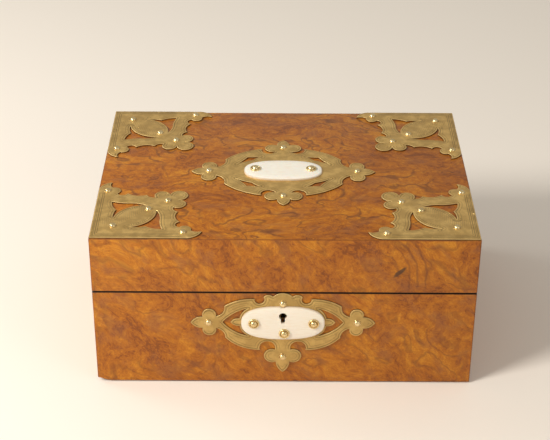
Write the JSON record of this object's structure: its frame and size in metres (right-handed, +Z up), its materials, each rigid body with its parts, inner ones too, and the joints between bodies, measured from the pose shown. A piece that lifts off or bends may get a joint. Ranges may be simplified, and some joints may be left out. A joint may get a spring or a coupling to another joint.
{
  "type": "dressing box",
  "caption": "Rectangular veneered dressing box with pierced brass corner mounts, bone-set plates, hinged lid with mirror, box lock and lift-out fitted tray.",
  "frame": {"origin": "on the supporting surface, under the middle of the closed box", "axes": "+Z up, front of the box towards -Y, +X to the right seen from the front"},
  "size_m": [0.28, 0.2142, 0.1321],
  "materials": {
    "burr_walnut": "satin polish over figured burr veneer",
    "mahogany": "satin polish",
    "aged_brass": "aged, dull, with engraved lines",
    "polished_brass": "polished domes, worn",
    "fitting_brass": "satin",
    "steel": "satin",
    "bone": "polished bone, cream white",
    "velvet": "short pile velvet",
    "silk": "ruched silk",
    "baize": "woollen baize",
    "gilt_leather": "tooled leather with gilt lines",
    "mirror": "old silvered glass"
  },
  "bodies": {
    "base": {"base_front": "mahogany", "base_back": "mahogany", "base_left": "mahogany", "base_right": "mahogany", "base_bottom": "mahogany", "base_veneer": "burr_walnut", "base_baize": "baize", "floor_lining": "velvet", "wall_lining": "velvet", "rest_front": "mahogany", "rest_back": "mahogany", "rest_left": "mahogany", "rest_right": "mahogany", "escutcheon": "aged_brass", "escutcheon_plaque": "bone", "escutcheon_studs": "polished_brass", "plaque_studs_front": "polished_brass", "lock_case": "fitting_brass", "lock_cap": "fitting_brass", "lock_key_pin": "steel", "lock_spring": "steel", "lock_screws": "fitting_brass", "hinge_base_leaves": "fitting_brass", "hinge_pins": "steel", "hinge_screws_base": "fitting_brass"},
    "bolt": {"lock_bolt": "fitting_brass"},
    "lid": {"hinge_lid_leaves": "fitting_brass", "hinge_screws_lid": "fitting_brass", "lid_front": "mahogany", "lid_back": "mahogany", "lid_left": "mahogany", "lid_right": "mahogany", "lid_top": "mahogany", "lid_veneer": "burr_walnut", "lid_lining": "velvet", "lid_pad": "silk", "mirror_back": "mahogany", "mirror_glass": "mirror", "mirror_frame": "gilt_leather", "link_plate": "fitting_brass", "link_screws": "fitting_brass", "mount_front_left": "aged_brass", "mount_front_right": "aged_brass", "mount_back_left": "aged_brass", "mount_back_right": "aged_brass", "mount_studs": "polished_brass", "cartouche": "aged_brass", "cartouche_studs": "polished_brass", "lid_plaque": "bone", "plaque_studs_lid": "polished_brass"},
    "tray": {"tray_bottom": "mahogany", "tray_long_sides": "mahogany", "tray_end_sides": "mahogany", "tray_dividers": "mahogany", "tray_lining": "velvet", "ring_rolls": "velvet", "tray_knobs": "polished_brass"}
  },
  "joints": [
    {"name": "lid_hinge", "type": "hinge", "parent": "base", "child": "lid", "pos_m": [0, 0.104, 0.08085], "axis": [-1, 0, 0], "range_deg": [0, 100]},
    {"name": "tray_lift", "type": "slide", "parent": "base", "child": "tray", "axis": [0, 0, 1], "range_m": [0, 0.02]},
    {"name": "bolt_slide", "type": "slide", "parent": "base", "child": "bolt", "axis": [1, 0, 0], "range_m": [0, 0.004]}
  ]
}
